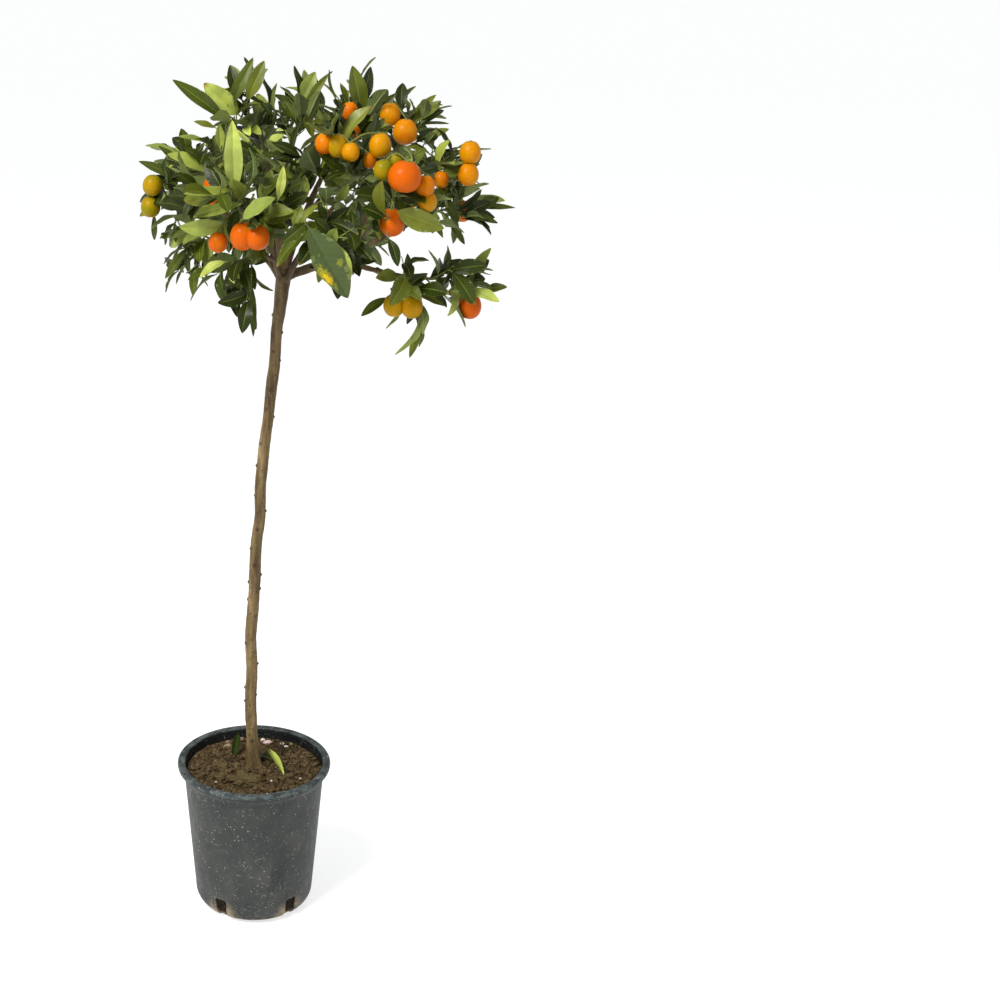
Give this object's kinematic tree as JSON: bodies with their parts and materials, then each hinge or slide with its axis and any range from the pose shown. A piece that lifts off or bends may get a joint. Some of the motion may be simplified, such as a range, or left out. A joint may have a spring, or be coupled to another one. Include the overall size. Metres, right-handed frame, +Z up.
{
  "type": "potted kumquat tree",
  "caption": "Kumquat tree grown as a standard: a bare leaning trunk under an open, rounded crown of pointed oval leaves and small orange fruit, in a round tapered nursery pot.",
  "frame": {"origin": "centre of the pot's flat underside", "axes": "+Z up along the pot's axis, +X towards the side that the trunk leans to, -Y to the front"},
  "size_m": [0.525, 0.4623, 1.316],
  "materials": {
    "pot": "dark slate grey, matt, scuffed and dusty",
    "soil": "brown crumbly potting soil, matt",
    "bark": "grey-brown bark, matt",
    "foliage": "glossy green leaves with orange fruit"
  },
  "bodies": {
    "root": {"pot": "pot", "soil": "soil", "trunk": "bark", "bough_right": "bark", "bough_centre_right": "bark", "bough_centre_left": "bark", "bough_left": "bark", "bough_back_left": "bark", "bough_back_right": "bark", "bough_front_left": "bark", "bough_front_right": "bark", "bough_right_rising": "bark", "bough_right_upper": "bark", "bough_right_low": "bark", "bough_right_inner": "bark", "bough_right_front": "bark", "bough_top_front": "bark", "bough_top_back": "bark", "bough_top_middle": "bark", "bough_left_upper": "bark", "bough_left_low": "bark", "bough_front_far_left": "bark", "bough_low_left": "bark", "bough_back_far_left": "bark", "bough_back_low_left": "bark", "bough_back_low_right": "bark", "bough_heart": "bark", "bough_middle_right": "bark", "foliage_top_left": "foliage", "foliage_top_middle": "foliage", "foliage_top_right": "foliage", "foliage_top_far_right": "foliage", "foliage_right_upper": "foliage", "foliage_right_far": "foliage", "foliage_low_right": "foliage", "foliage_low_middle": "foliage", "foliage_low_left": "foliage", "foliage_left_low": "foliage", "foliage_left_far": "foliage", "foliage_left_upper": "foliage", "foliage_front_left": "foliage", "foliage_front_middle": "foliage", "foliage_front_low": "foliage", "foliage_front_right": "foliage", "foliage_front_top": "foliage", "foliage_back_left": "foliage", "foliage_back_middle": "foliage", "foliage_back_right": "foliage", "foliage_back_top": "foliage", "foliage_back_low_left": "foliage", "foliage_back_low_right": "foliage", "foliage_heart": "foliage", "foliage_middle_right": "foliage"}
  },
  "joints": []
}
